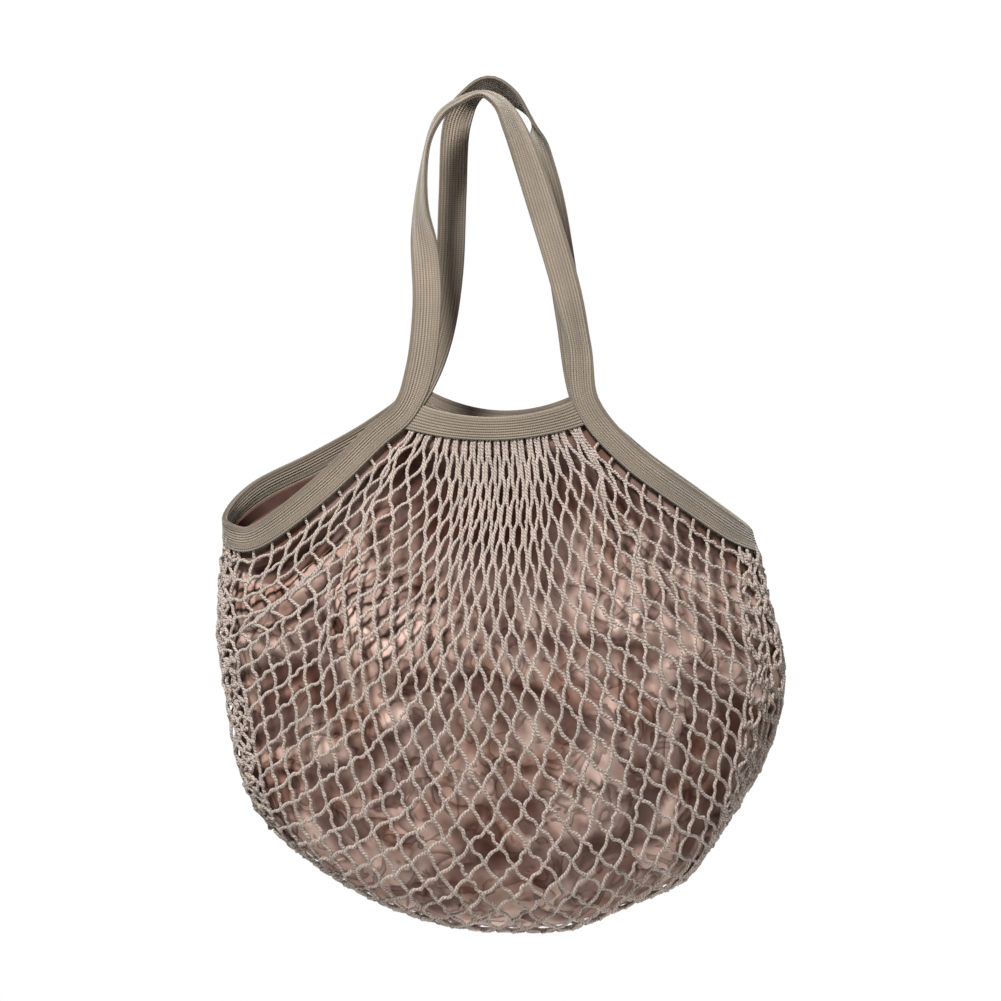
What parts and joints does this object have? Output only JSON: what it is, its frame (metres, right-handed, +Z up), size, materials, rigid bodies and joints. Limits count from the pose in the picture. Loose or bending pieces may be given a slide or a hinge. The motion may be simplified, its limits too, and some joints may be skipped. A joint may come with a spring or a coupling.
{
  "type": "foldable shopping bag",
  "caption": "Soft net shopping bag with long shoulder handles, gathered mouth bindings, a folded tape edge and a loose satin lining, hanging open from a hook.",
  "frame": {"origin": "the point under the tops of the two handles where a hook carries the bag", "axes": "+Z up, +X to the right seen from the front, the front of the bag towards -Y"},
  "size_m": [0.4524, 0.1869, 0.6861],
  "materials": {
    "cotton_tape": "matt knitted cotton tape with lengthwise ribs",
    "cotton_cord": "matt fuzzy cotton cord",
    "satin": "mauve satin with a soft sheen"
  },
  "bodies": {
    "root": {"handle_tape": "cotton_tape", "front_binding": "cotton_tape", "rear_binding": "cotton_tape", "net": "cotton_cord", "lining": "satin"}
  },
  "joints": []
}
